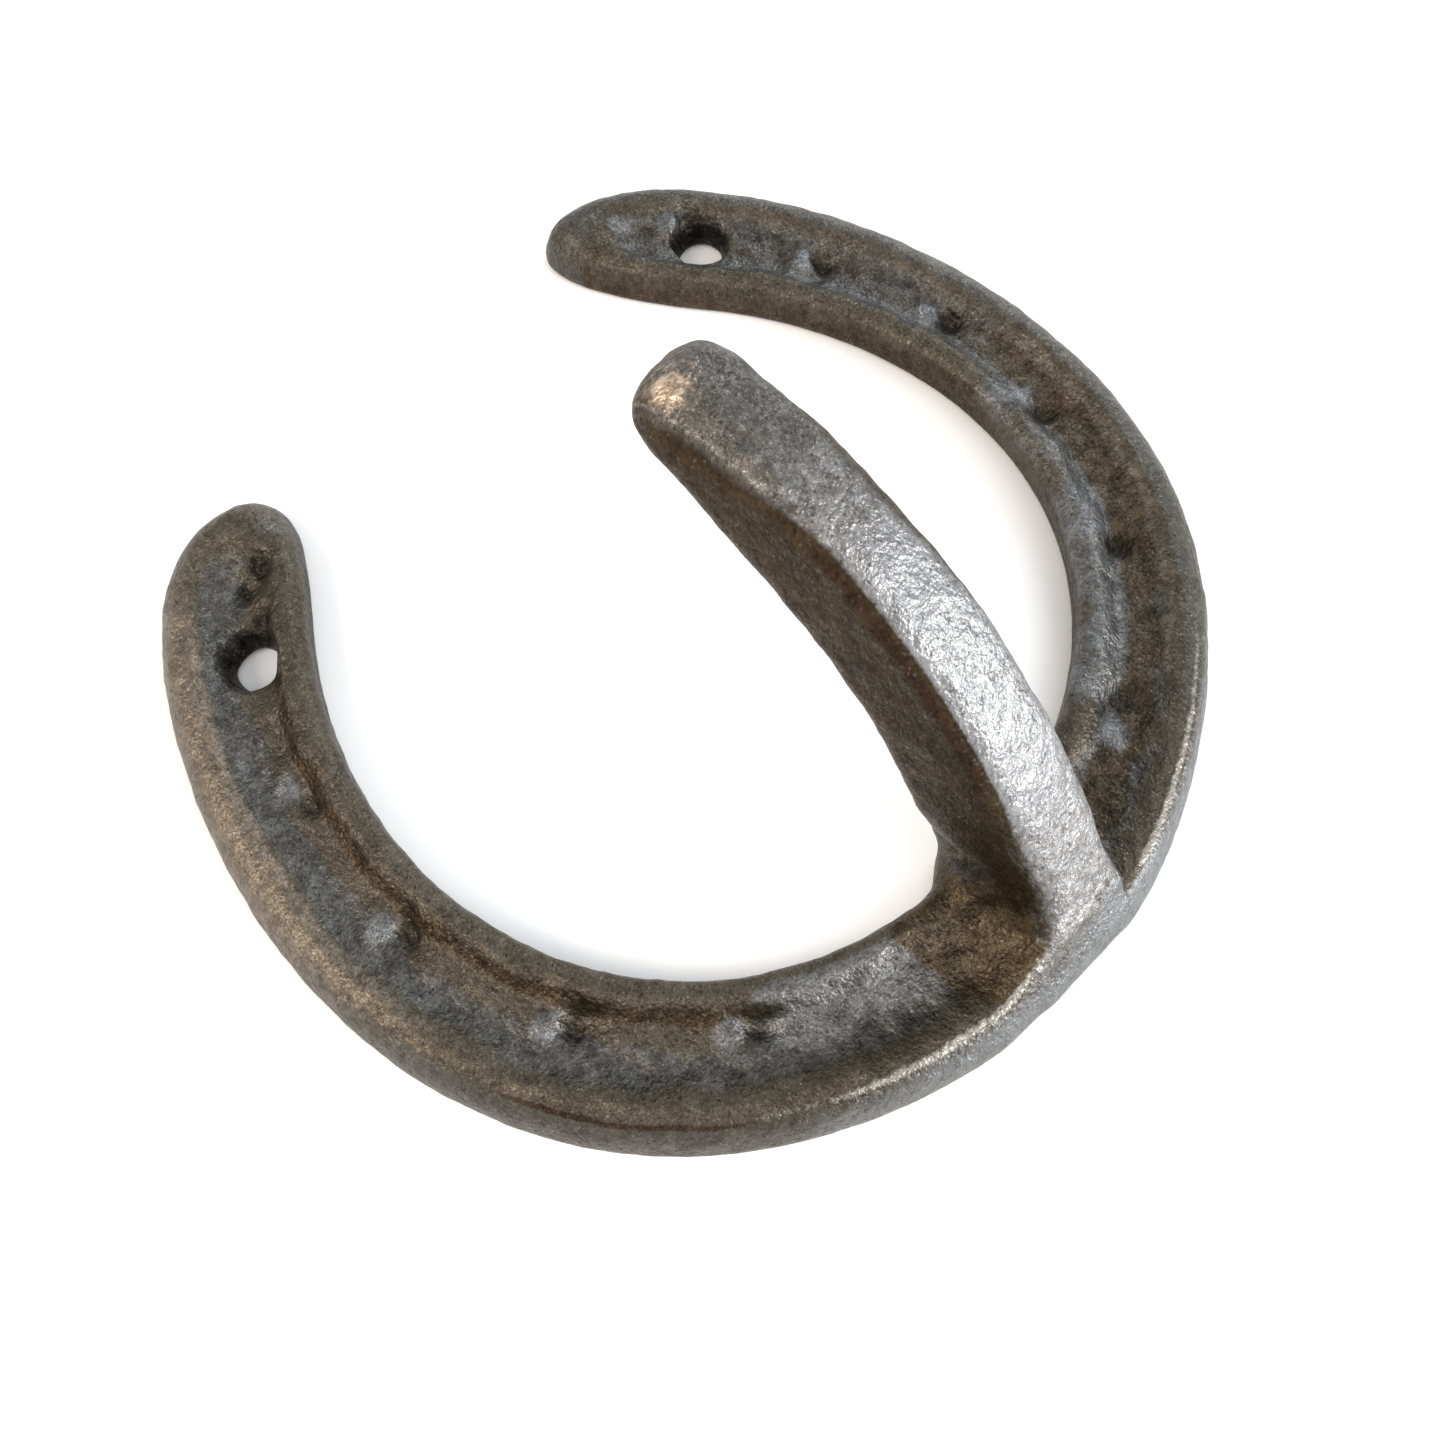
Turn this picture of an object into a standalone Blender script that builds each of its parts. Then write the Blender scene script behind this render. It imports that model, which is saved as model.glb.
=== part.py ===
"""Horseshoe wall hook, raw grey cast iron.

The part lies on its back as it lies on a table: the flat back is the plane z = 0, the toe points
to -Y, the open heels to +Y, and the hook rises from the toe and leans back over the shoe.
Lengths are in millimetres here and turned into metres when a mesh is made.

The plan of the shoe is polar: an outer and an inner outline, each a short cosine series in the
angle from the toe, which run together in a rounded heel at the end of each branch.
"""
import math

import bmesh
import bpy
from mathutils import Vector

MM = 0.001
GAP = 0.3                       # clearance between the shoe and the foot of the hook

# Plan of the shoe: radius = sum of term[k] * cos(k * angle), angle 0 at the toe
OUTER_TERMS = (50.0, -8.8, 1.6, -0.78, 0.06, 0.18, 0.05)
INNER_TERMS = (36.05, -7.7, 1.08, -0.79, 0.38, -0.05, 0.10)
POLE_Y = -3.35                  # the pole of the outlines, which centres the whole part on Y = 0
HEEL_ROUND_FROM = 139.0         # angle where the heel starts to round off, degrees
HEEL_END = 157.0                # angle at the tip of the heel
TOE_BOSS = 3.6                  # the inner outline bulges under the root of the hook
TOE_BOSS_HALF_WIDTH = 6.0

# Section of the shoe
PLATE_T = 5.0
FLOOR_Z = 3.6                   # floor of the channel
# (inset from the outer outline, inset from the inner outline, inset at the heel tip, height)
SECTION = (
    (0.6, 0.6, 0.6, 0.0),       # edge of the flat back
    (0.05, 0.0, 0.05, 0.55),
    (0.25, 0.0, 0.25, 1.8),
    (0.9, 0.05, 0.8, 3.2),
    (1.6, 0.25, 1.5, 4.3),
    (2.5, 0.8, 2.4, PLATE_T),   # outer edge of the rim
    (4.2, 1.9, 7.5, PLATE_T),   # inner edge of the rim
    (4.9, 2.6, 8.3, 4.5),
    (5.7, 3.4, 9.2, FLOOR_Z),   # foot of the channel wall
)
PLAIN_STATIONS = 84             # stations between the two heel roundings
HEEL_STATIONS = 9               # stations round each heel

# Nail seats sunk into the floor of the channel, angle from the toe in degrees
NAIL_ANGLES = (28.0, 54.0, 77.5, 99.0, 120.0)
NAIL_LENGTH, NAIL_WIDTH, NAIL_DEPTH = 4.4, 3.2, 0.7
HEEL_PIT_AT = (27.7, 42.2)      # from the pole
HEEL_PIT_R, HEEL_PIT_DEPTH = 1.7, 0.8

# Screw holes
HOLE_AT = (32.3, 35.2)          # from the pole
HOLE_D = 4.4
SINK_D = 8.2
SINK_FROM = 1.3                 # height where the hole starts to open out

# Cutters for the holes and the heel pits: (radius, height) from the bottom up
HOLE_PROFILE = (
    (HOLE_D / 2, -1.0),
    (HOLE_D / 2, SINK_FROM),
    (SINK_D / 2, FLOOR_Z + 0.2),
    (SINK_D / 2 + 1.0, PLATE_T + 1.0),
)
PIT_PROFILE = (
    (HEEL_PIT_R * 0.6, FLOOR_Z - HEEL_PIT_DEPTH),
    (HEEL_PIT_R, FLOOR_Z),
    (HEEL_PIT_R * 1.9, PLATE_T + 0.6),
)

# Hook: outer and inner profile in the Y-Z plane as cubic Bezier curves, from the pole
HOOK_X = -2.0                   # the hook stands a little left of the middle of the toe
HOOK_OUTER = ((-40.7, 3.8), (-29.6, 17.7), (-22.7, 36.8), (-0.4, 41.1))
HOOK_INNER = ((-25.6, 3.8), (-17.7, 25.7), (-9.3, 27.3), (3.0, 35.6))
HOOK_HALF_OUTER = ((0.0, 5.0), (0.1, 4.4), (0.25, 4.0), (0.5, 3.7), (0.8, 3.3), (1.0, 3.0))
HOOK_SPREAD = 1.1               # the inner side of the hook is this much wider on each side
HOOK_CORNER = 1.7               # rounding of its long edges
HOOK_SECTIONS = 30
HOOK_DOME_TILT = 17.0           # direction of the blunt tip above the horizontal, degrees
HOOK_DOME_LENGTH = 5.2
HOOK_FOOT_Z = FLOOR_Z - 0.1 + GAP
NOTCH_HALF_WIDTH = 6.5          # seat for the foot of the hook, cut across the toe


def clear_scene():
    for obj in list(bpy.data.objects):
        bpy.data.objects.remove(obj, do_unlink=True)
    for mesh in list(bpy.data.meshes):
        bpy.data.meshes.remove(mesh)


def series(terms, angle):
    return sum(term * math.cos(k * angle) for k, term in enumerate(terms))


def lookup(table, t):
    """Straight-line reading of a short (position, value) table."""
    for (t0, v0), (t1, v1) in zip(table, table[1:]):
        if t <= t1:
            return v0 + (v1 - v0) * (t - t0) / (t1 - t0)
    return table[-1][1]


def bezier(points, t):
    weights = ((1 - t) ** 3, 3 * t * (1 - t) ** 2, 3 * t * t * (1 - t), t ** 3)
    return tuple(sum(w * p[k] for w, p in zip(weights, points)) for k in (0, 1))


def radii(angle):
    """Outer and inner radius of the plan at an angle, heel rounding left aside."""
    outer, inner = series(OUTER_TERMS, angle), series(INNER_TERMS, angle)
    across = inner * math.sin(angle) - HOOK_X
    if abs(angle) < 1.0:
        inner -= TOE_BOSS * math.exp(-(across / TOE_BOSS_HALF_WIDTH) ** 4)
    return outer, inner


def plan_point(radius, angle):
    return radius * math.sin(angle), POLE_Y - radius * math.cos(angle)


def stations(end_inset):
    """(angle, share of the full half width) from the left heel tip to the right heel tip."""
    start, end = math.radians(HEEL_ROUND_FROM), math.radians(HEEL_END)
    end -= end_inset / series(OUTER_TERMS, end)
    start = min(start, end - 0.12)
    right = []
    for k in range(1, HEEL_STATIONS + 1):
        phi = math.pi / 2 * k / HEEL_STATIONS
        right.append((start + (end - start) * math.sin(phi), math.cos(phi)))
    middle = [(start * (2 * k / PLAIN_STATIONS - 1), 1.0) for k in range(PLAIN_STATIONS + 1)]
    return [(-a, s) for a, s in reversed(right)] + middle + right


def ring(outer_inset, inner_inset, end_inset, z):
    """Closed loop round the shoe: along the outer side, round one heel and back inside."""
    outer_side, inner_side = [], []
    for angle, share in stations(end_inset):
        outer, inner = radii(angle)
        outer, inner = outer - outer_inset, inner + inner_inset
        middle, half = (outer + inner) / 2, (outer - inner) / 2 * share
        outer_side.append((*plan_point(middle + half, angle), z))
        inner_side.append((*plan_point(middle - half, angle), z))
    return outer_side, inner_side[-2:0:-1]


def finish_object(name, bm, material):
    bmesh.ops.recalc_face_normals(bm, faces=bm.faces)
    mesh = bpy.data.meshes.new(name)
    bm.to_mesh(mesh)
    bm.free()
    mesh.shade_smooth()
    mesh.set_sharp_from_angle(angle=math.radians(40))
    obj = bpy.data.objects.new(name, mesh)
    bpy.context.scene.collection.objects.link(obj)
    if material:
        mesh.materials.append(material)
    return obj


def make_material(name, colour, metallic, roughness):
    material = bpy.data.materials.new(name)
    material.use_nodes = True
    shader = material.node_tree.nodes["Principled BSDF"]
    shader.inputs["Base Color"].default_value = (*colour, 1.0)
    shader.inputs["Metallic"].default_value = metallic
    shader.inputs["Roughness"].default_value = roughness
    return material


def cap(bm, outer_side, inner_side):
    """Fills the band between the two sides of a ring, from one heel tip to the other."""
    inner = [outer_side[0], *reversed(inner_side), outer_side[-1]]
    for k in range(len(outer_side) - 1):
        corners = [outer_side[k], outer_side[k + 1], inner[k + 1], inner[k]]
        bm.faces.new(list(dict.fromkeys(corners)))


def make_shoe(material):
    bm = bmesh.new()
    loops, sides = [], []
    for row in SECTION:
        outer_side, inner_side = ring(*row)
        verts = [[bm.verts.new(Vector(p) * MM) for p in side] for side in (outer_side, inner_side)]
        sides.append(verts)
        loops.append(verts[0] + verts[1])
    for low, high in zip(loops, loops[1:]):
        for k in range(len(low)):
            n = (k + 1) % len(low)
            bm.faces.new((low[k], low[n], high[n], high[k]))
    cap(bm, *sides[0])
    cap(bm, *sides[-1])
    return finish_object("horseshoe", bm, material)


def hook_section(t):
    """One closed section of the hook across its length: a rounded trapezium."""
    (yo, zo), (yi, zi) = bezier(HOOK_OUTER, t), bezier(HOOK_INNER, t)
    outer, inner = Vector((HOOK_X, POLE_Y + yo, zo)), Vector((HOOK_X, POLE_Y + yi, zi))
    depth = (outer - inner).length
    up = (outer - inner) / depth
    half = lookup(HOOK_HALF_OUTER, t)
    wide = half + HOOK_SPREAD
    corners = ((half, depth / 2), (-half, depth / 2), (-wide, -depth / 2), (wide, -depth / 2))
    loop, r = [], HOOK_CORNER
    for number, (x, v) in enumerate(corners):
        cx, cv = x - math.copysign(r, x), v - math.copysign(r, v)
        for k in range(6):
            angle = math.radians(90 * number + 18 * k)
            loop.append(Vector((cx + r * math.cos(angle), cv + r * math.sin(angle))))
    centre = (outer + inner) / 2
    return centre, up, loop


def make_hook(material):
    bm = bmesh.new()
    rings = []
    for k in range(HOOK_SECTIONS + 1):
        centre, up, loop = hook_section(k / HOOK_SECTIONS)
        rings.append([centre + Vector((p.x, 0, 0)) + up * p.y for p in loop])
    tilt = math.radians(HOOK_DOME_TILT)
    ahead = Vector((0, math.cos(tilt), math.sin(tilt)))
    for k in range(1, 8):
        phi = math.radians(12 * k)
        scale, push = math.cos(phi) ** 0.75, math.sin(phi) * HOOK_DOME_LENGTH
        rings.append([centre + ahead * push + (Vector((p.x, 0, 0)) + up * p.y) * scale for p in loop])
    verts = [[bm.verts.new(p * MM) for p in loop] for loop in rings]
    for low, high in zip(verts, verts[1:]):
        for k in range(len(low)):
            n = (k + 1) % len(low)
            bm.faces.new((low[k], low[n], high[n], high[k]))
    bm.faces.new(verts[0])
    bm.faces.new(verts[-1])
    return finish_object("hook", bm, material)


def guide(name, bm):
    """A cutter: kept in the file as a guide, but neither shown nor part of the object."""
    obj = finish_object(name, bm, None)
    obj.hide_render = True
    obj.display_type = "WIRE"
    return obj


def cut(obj, cutter):
    modifier = obj.modifiers.new(cutter.name, "BOOLEAN")
    modifier.operation = "DIFFERENCE"
    modifier.solver = "EXACT"
    modifier.object = cutter


def turned(bm, profile, centre, segments=28):
    """Solid of revolution about a vertical axis from (radius, height) pairs, bottom to top."""
    loops = []
    for radius, z in profile:
        loop = []
        for k in range(segments):
            turn = 2 * math.pi * k / segments
            x, y = centre[0] + radius * math.cos(turn), centre[1] + radius * math.sin(turn)
            loop.append(bm.verts.new(Vector((x, y, z)) * MM))
        loops.append(loop)
    for low, high in zip(loops, loops[1:]):
        for k in range(segments):
            n = (k + 1) % segments
            bm.faces.new((low[k], low[n], high[n], high[k]))
    bm.faces.new(loops[0])
    bm.faces.new(loops[-1])


def nail_seat(bm, angle):
    """A tapered block, its long side along the branch."""
    outer, inner = radii(angle)
    middle = ((outer - SECTION[-1][0]) + (inner + SECTION[-1][1])) / 2
    x, y = plan_point(middle, angle)
    along = Vector((math.cos(angle), math.sin(angle), 0)) * NAIL_LENGTH / 2
    across = Vector((math.sin(angle), -math.cos(angle), 0)) * NAIL_WIDTH / 2
    levels = []
    for z, scale in ((FLOOR_Z - NAIL_DEPTH, 0.72), (FLOOR_Z + 0.35, 1.05)):
        centre = Vector((x, y, z))
        corners = [centre + (along * a + across * b) * scale for a, b in ((1, 1), (-1, 1), (-1, -1), (1, -1))]
        levels.append([bm.verts.new(corner * MM) for corner in corners])
    low, high = levels
    for k in range(4):
        n = (k + 1) % 4
        bm.faces.new((low[k], low[n], high[n], high[k]))
    bm.faces.new(low)
    bm.faces.new(high)


def make_cutters():
    notch = bmesh.new()
    bmesh.ops.create_cube(notch, size=2.0)
    low = Vector((HOOK_X - NOTCH_HALF_WIDTH, POLE_Y - 50.0, HOOK_FOOT_Z - GAP))
    high = Vector((HOOK_X + NOTCH_HALF_WIDTH, POLE_Y - 20.0, PLATE_T + 6.0))
    for v in notch.verts:
        v.co = ((low + high) / 2 + Vector(map(math.prod, zip(v.co, (high - low) / 2)))) * MM
    holes, seats = bmesh.new(), bmesh.new()
    for side in (-1, 1):
        centre = (side * HOLE_AT[0], POLE_Y + HOLE_AT[1])
        turned(holes, HOLE_PROFILE, centre)
        turned(seats, PIT_PROFILE, (side * HEEL_PIT_AT[0], POLE_Y + HEEL_PIT_AT[1]), 20)
        for angle in NAIL_ANGLES:
            nail_seat(seats, side * math.radians(angle))
    return guide("cut_hook_seat", notch), guide("cut_screw_holes", holes), guide("cut_nail_seats", seats)


def main():
    clear_scene()
    shoe_iron = make_material("cast_iron_shoe", (0.13, 0.105, 0.085), 0.85, 0.55)
    hook_iron = make_material("cast_iron_hook", (0.30, 0.29, 0.28), 0.90, 0.45)
    shoe = make_shoe(shoe_iron)
    make_hook(hook_iron)
    for cutter in make_cutters():
        cut(shoe, cutter)


main()
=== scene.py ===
"""Looks of the horseshoe wall hook: one sand-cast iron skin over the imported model.

The casting is a single body, so one skin stands for both CAD solids. Its shape is a signed field,
negative inside the iron, which is turned into a mesh of quads. Lengths are in millimetres up to
the point where the mesh is made, in the frame of the CAD: the flat back is z = 0, the toe points
to -Y, the heels to +Y, and the hook stands on the toe and leans over the shoe. Angles on the plan
are taken about the shoe's pole, from the toe towards +X.
"""

import itertools
import math

import bpy
import numpy as np
from mathutils import Matrix, Vector


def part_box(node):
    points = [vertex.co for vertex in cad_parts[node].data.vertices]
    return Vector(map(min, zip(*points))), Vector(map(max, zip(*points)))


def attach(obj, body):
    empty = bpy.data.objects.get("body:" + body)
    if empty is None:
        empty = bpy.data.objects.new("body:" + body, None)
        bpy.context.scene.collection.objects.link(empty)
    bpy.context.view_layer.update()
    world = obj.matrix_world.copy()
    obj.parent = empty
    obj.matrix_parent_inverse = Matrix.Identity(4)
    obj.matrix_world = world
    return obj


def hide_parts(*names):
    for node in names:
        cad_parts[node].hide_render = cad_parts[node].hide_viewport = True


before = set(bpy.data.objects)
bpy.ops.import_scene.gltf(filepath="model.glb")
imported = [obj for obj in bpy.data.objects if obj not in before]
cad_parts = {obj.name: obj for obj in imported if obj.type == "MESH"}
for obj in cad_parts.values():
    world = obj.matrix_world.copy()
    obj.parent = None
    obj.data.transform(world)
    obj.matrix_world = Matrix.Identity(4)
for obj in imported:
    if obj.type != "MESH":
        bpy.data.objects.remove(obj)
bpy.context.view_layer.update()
_, shoe_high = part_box("horseshoe")
hook_low, hook_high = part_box("hook")

MM = 0.001

# Plan of the shoe, from its pole: radius = cosine series + a slight lean as a sine series
POLE_Y = -3.35
OUTER_COS = (50.08, -9.01, 1.75, -0.96, 0.11, 0.18, 0.02, 0.05)
INNER_COS = (36.15, -8.07, 1.2, -0.99, 0.2, -0.06)
OUTER_SIN = (-0.6, -0.21, 0.06, 0.05, -0.1)
INNER_SIN = (-0.37, 0.14)
# Heels: where each starts to round off, the angle at its tip, and how far the tip leans inwards
LEFT_HEEL = (math.radians(141.0), math.radians(158.2), 1.7)
RIGHT_HEEL = (math.radians(137.0), math.radians(155.2), -0.4)
# The toe is broader under the hook, and its outer wall was dressed flat along a chord
TOE_BOSS, TOE_BOSS_HALF_WIDTH, TOE_BOSS_X = 2.6, 4.6, -0.8
TOE_FLAT = ((0.5, -42.15), (-10.8, -40.65))

# Section of the shoe
RIM_Z = shoe_high.z / MM
FLOOR_Z = 3.6
OUTER_DRAFT, INNER_DRAFT = 0.094, -0.018         # inset of the wall = draft * height squared
TOE_DRAFT, TOE_DRAFT_X, TOE_DRAFT_HALF = 0.022, -14.0, 6.5    # more draft, left of the hook
SHOULDER, TOE_SHOULDER, BACK_EDGE = 2.3, 0.8, 0.9    # blend lengths of the rounded edges
OUTER_WALL = (3.3, 6.9)                         # the channel wall, insets from the outer outline
INNER_WALL = (1.5, 4.1)                         # the same, from the inner outline
END_WALL = (5.6, 9.8)                           # and from the tip of a heel

# Nail marks: a lump in the channel with a pit beside it, (angle, radius) of each pair
NAILS_LEFT = (
    ((-53.2, 36.4), (-49.6, 35.6)), ((-76.2, 39.6), (-73.0, 38.6)), ((-99.7, 42.2), (-97.0, 41.0)),
    ((-120.2, 44.4), (-117.9, 43.0)),
)
NAILS_RIGHT = (
    ((22.0, 34.0), (28.0, 34.2)), ((58.5, 33.9), (54.6, 36.4)), ((83.0, 37.4), (79.3, 38.8)),
    ((103.0, 41.2), (99.7, 41.5)), ((122.2, 44.2), (119.6, 44.3)),
)
LUMP_R, LUMP_HEIGHT = 1.5, 0.55
NAIL_PIT_R, NAIL_PIT_DEPTH = 1.5, 1.1

# Screw holes, (x, y) from the pole, and the pits and bumps in the heels, (x, y, radius)
HOLES = ((-31.8, 34.9), (32.9, 34.5))
HOLE_R, POCKET_R, POCKET_DEPTH, HOLE_EDGE = 2.2, 3.5, 2.4, 0.7
PITS = ((-24.8, 41.5, 1.3), (-27.5, 40.9, 1.3), (-28.6, 37.0, 1.2), (34.6, 37.4, 1.0))
BUMPS = ((-21.8, 41.9, 1.3), (-27.0, 38.6, 1.1), (28.4, 42.2, 1.7), (32.0, 38.4, 1.5))
PIT_DEPTH, BUMP_HEIGHT = 0.8, 0.5

# Hook: profile curves in the Y-Z plane, (y from the pole, z), and its half width along them
HOOK_X = (hook_low.x + hook_high.x) / 2 / MM + 0.15
HOOK_OUTER = ((-40.7, 3.8), (-29.6, 17.7), (-22.7, 36.8), (-0.6, 41.0))
HOOK_INNER = ((-25.6, 3.8), (-17.7, 25.7), (-9.3, 27.3), (3.0, 35.6))
HOOK_FOOT = ((-41.0, 0.8), (-26.0, 0.8))        # the profile goes down into the toe to here
HOOK_HALF = ((0.0, 4.6), (0.1, 4.2), (0.25, 4.1), (0.5, 3.8), (0.8, 3.4), (1.0, 3.75))
HOOK_RIGHT_HALF = 0.3                           # how much further its right flank stands out
HOOK_SPREAD = 1.4                               # how much wider it is towards its inner side
HOOK_RIDGE, HOOK_RIGHT_EDGE = 2.2, 3.0          # blend lengths of its long edges
NOSE_TILT, NOSE_LENGTH = math.radians(12.0), 5.3
NOSE_RUB_AND_HIGHLIGHT = (-3.9, 0.4, 41.3)                   # the rubbed spot on its tip, with a painted warm highlight at its middle

# Root of the hook
ROOT_TUCK = 2.3                                 # how far its right flank draws in at the root
ROOT_EDGE = 1.5                                 # blend length of its front edge, twice that left
ROOT_LEAN_Z = 5.6                               # its front leans with the shoe's wall up to here
ROOT_OUTLINE_BLEND, ROOT_WALL_BLEND = 0.6, 0.8  # blend lengths with the shoe's outer wall
CORNER_BLEND = 2.0                              # added to it in the inner corner on its left
RIGHT_FILLET, LEFT_FILLET = 0.9, 2.1            # blend lengths with the top of the shoe
FLARE, FLARE_REACH = 8.0, 5.0                   # the wide fillet at the front of its left side

# Grids: the cell of the mesh, the box it fills and the two blocks of it that hold iron
GRID = 0.38
GRID_LOW, GRID_SIZE = (-51.0, -48.0, -1.2), (102.0, 98.0, 44.0)
SHOE_BLOCK = ((-51, -48, -1.2), (51, 50, 7.0))
HOOK_BLOCK = ((-13, -48, 6.0), (9, 14, 42.6))
# The two flat maps that the field is read from: their cell and their opposite corners
SHEET_GRID = 0.2
PLAN_AREA = ((-52, -50), (52, 50))
PROFILE_AREA = ((-50, -2), (14, 44))


# ---------------------------------------------------------------- small tools

def smoothstep(low, high, x):
    """Eases from 0 at `low` to 1 at `high`; with `low` above `high` it falls as x grows."""
    t = np.clip((x - low) / (high - low), 0.0, 1.0)
    return t * t * (3 - 2 * t)


def bell(x, centre, width):
    return np.exp(-((x - centre) / width) ** 2)


def smooth_max(a, b, k):
    """The larger of two fields, blended where they differ by less than `k`."""
    return np.maximum(a, b) + 0.25 * k * np.clip(1 - np.abs(a - b) / k, 0, None) ** 2


def smooth_min(a, b, k):
    return -smooth_max(-a, -b, k)


def noise(points, size, seed):
    """Smooth noise from -1 to 1 at points (n, 2 or 3), in lumps about `size` mm across.

    Each corner of a cell has a value hashed from its place and the seed.
    """
    q = np.asarray(points) / size
    cell = np.floor(q).astype(np.int64)
    part = q - cell
    part = part * part * (3 - 2 * part)
    mask, total = 0xFFFFFFFF, np.zeros(len(q))
    for corner in itertools.product((0, 1), repeat=q.shape[1]):
        key = np.full(len(q), seed * 97531 + 17, np.int64)
        weight = np.ones(len(q))
        for axis, bit in enumerate(corner):
            key = (key ^ (cell[:, axis] + bit)) * 2654435761 & mask
            key ^= key >> 15
            weight *= part[:, axis] if bit else 1 - part[:, axis]
        key = key * 2246822519 & mask
        key ^= key >> 13
        total += weight * (key / mask * 2 - 1)
    return total


def bezier(points, t):
    """Points of a cubic curve with four control points, at the shares `t` of its run."""
    t = np.asarray(t)[:, None]
    p = np.array(points)
    start = (1 - t) ** 3 * p[0] + 3 * t * (1 - t) ** 2 * p[1]
    return start + 3 * t * t * (1 - t) * p[2] + t ** 3 * p[3]


def distance_to_line(points, line):
    """Distance of each point to an open polyline, one segment at a time."""
    nearest = np.full(len(points), np.inf)
    for a, b in zip(line, line[1:]):
        along = b - a
        t = np.clip((points - a) @ along / (along @ along), 0, 1)
        gap = points - a - t[:, None] * along
        nearest = np.minimum(nearest, np.einsum("ij,ij->i", gap, gap))
    return np.sqrt(nearest)


def inside_polygon(points, loop):
    inside = np.zeros(len(points), bool)
    for (x0, y0), (x1, y1) in zip(loop, np.roll(loop, -1, axis=0)):
        crosses = (y0 > points[:, 1]) != (y1 > points[:, 1])
        if y1 != y0:
            inside ^= crosses & (points[:, 0] < x0 + (points[:, 1] - y0) * (x1 - x0) / (y1 - y0))
    return inside


class Sheet:
    """Named values on a flat grid, read between the grid's points."""

    def __init__(self, low, high):
        self.low = np.array(low, float)
        self.count = np.ceil((np.array(high) - self.low) / SHEET_GRID).astype(int) + 1
        axes = [lo + SHEET_GRID * np.arange(n) for lo, n in zip(self.low, self.count)]
        self.points = np.stack(np.meshgrid(*axes, indexing="ij"), -1).reshape(-1, 2)

    def keep(self, **fields):
        self.names = list(fields)
        self.fields = np.stack(list(fields.values()), -1).reshape(*self.count, len(fields))

    def read(self, points):
        """The kept values at the points, by name."""
        q = np.clip((points - self.low) / SHEET_GRID, 0, self.count - 1.001)
        cell = q.astype(int)
        u, v = (q - cell).T[:, :, None]
        i, j = cell.T
        f = self.fields
        low = f[i, j] * (1 - u) + f[i + 1, j] * u
        high = f[i, j + 1] * (1 - u) + f[i + 1, j + 1] * u
        return dict(zip(self.names, (low * (1 - v) + high * v).T))


# ---------------------------------------------------------------- the shoe

def series(cosines, sines, angle):
    total = sum(term * np.cos(k * angle) for k, term in enumerate(cosines))
    return total + sum(term * np.sin((k + 1) * angle) for k, term in enumerate(sines))


def outlines():
    """The outer and the inner side of the plan, each from the left heel tip to the right one."""
    turn = np.linspace(0, math.pi / 2, 40)[1:]
    (left_from, left_end, left_lean), (right_from, right_end, right_lean) = LEFT_HEEL, RIGHT_HEEL
    left = -(left_from + (left_end - left_from) * np.sin(turn))[::-1]
    right = right_from + (right_end - right_from) * np.sin(turn)
    middle = np.linspace(-left_from, right_from, 320)
    angle = np.concatenate((left, middle, right))
    share = np.concatenate((np.cos(turn)[::-1], np.ones(len(middle)), np.cos(turn)))
    lean = np.where(angle < 0, left_lean, right_lean) * (1 - share ** 2)
    outer = series(OUTER_COS, OUTER_SIN, angle)
    inner = series(INNER_COS, INNER_SIN, angle)
    across = inner * np.sin(angle) - TOE_BOSS_X
    at_toe = np.abs(angle) < 1.0
    inner = inner - at_toe * TOE_BOSS * np.exp(-(across / TOE_BOSS_HALF_WIDTH) ** 4)
    centre, half = (outer + inner) / 2 - lean, (outer - inner) / 2 * share
    ways = np.stack((np.sin(angle), -np.cos(angle)), -1)
    return [(0, POLE_Y) + r[:, None] * ways for r in (centre + half, centre - half)]


def distance_from(p, x, y):
    """Distance on the plan from a spot given from the pole."""
    return np.hypot(p[:, 0] - x, p[:, 1] - y - POLE_Y)


def nail_marks(p):
    """Depth of the floor at the nail marks, and where their lumps and their pits lie, from 0 to 1."""
    lumps, pits = np.zeros((2, len(p)))
    crooked = p + 0.35 * np.stack((noise(p, 1.7, 9), noise(p, 1.7, 10)), -1)
    for lump, pit in NAILS_LEFT + NAILS_RIGHT:
        for share, (angle, radius), reach in ((lumps, lump, LUMP_R), (pits, pit, NAIL_PIT_R)):
            turn = math.radians(angle)
            centre = (radius * math.sin(turn), POLE_Y - radius * math.cos(turn))
            gap = np.linalg.norm(crooked - centre, axis=1)
            np.maximum(share, bell(gap, 0, reach), out=share)
    return NAIL_PIT_DEPTH * pits - LUMP_HEIGHT * lumps, lumps, pits


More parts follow.
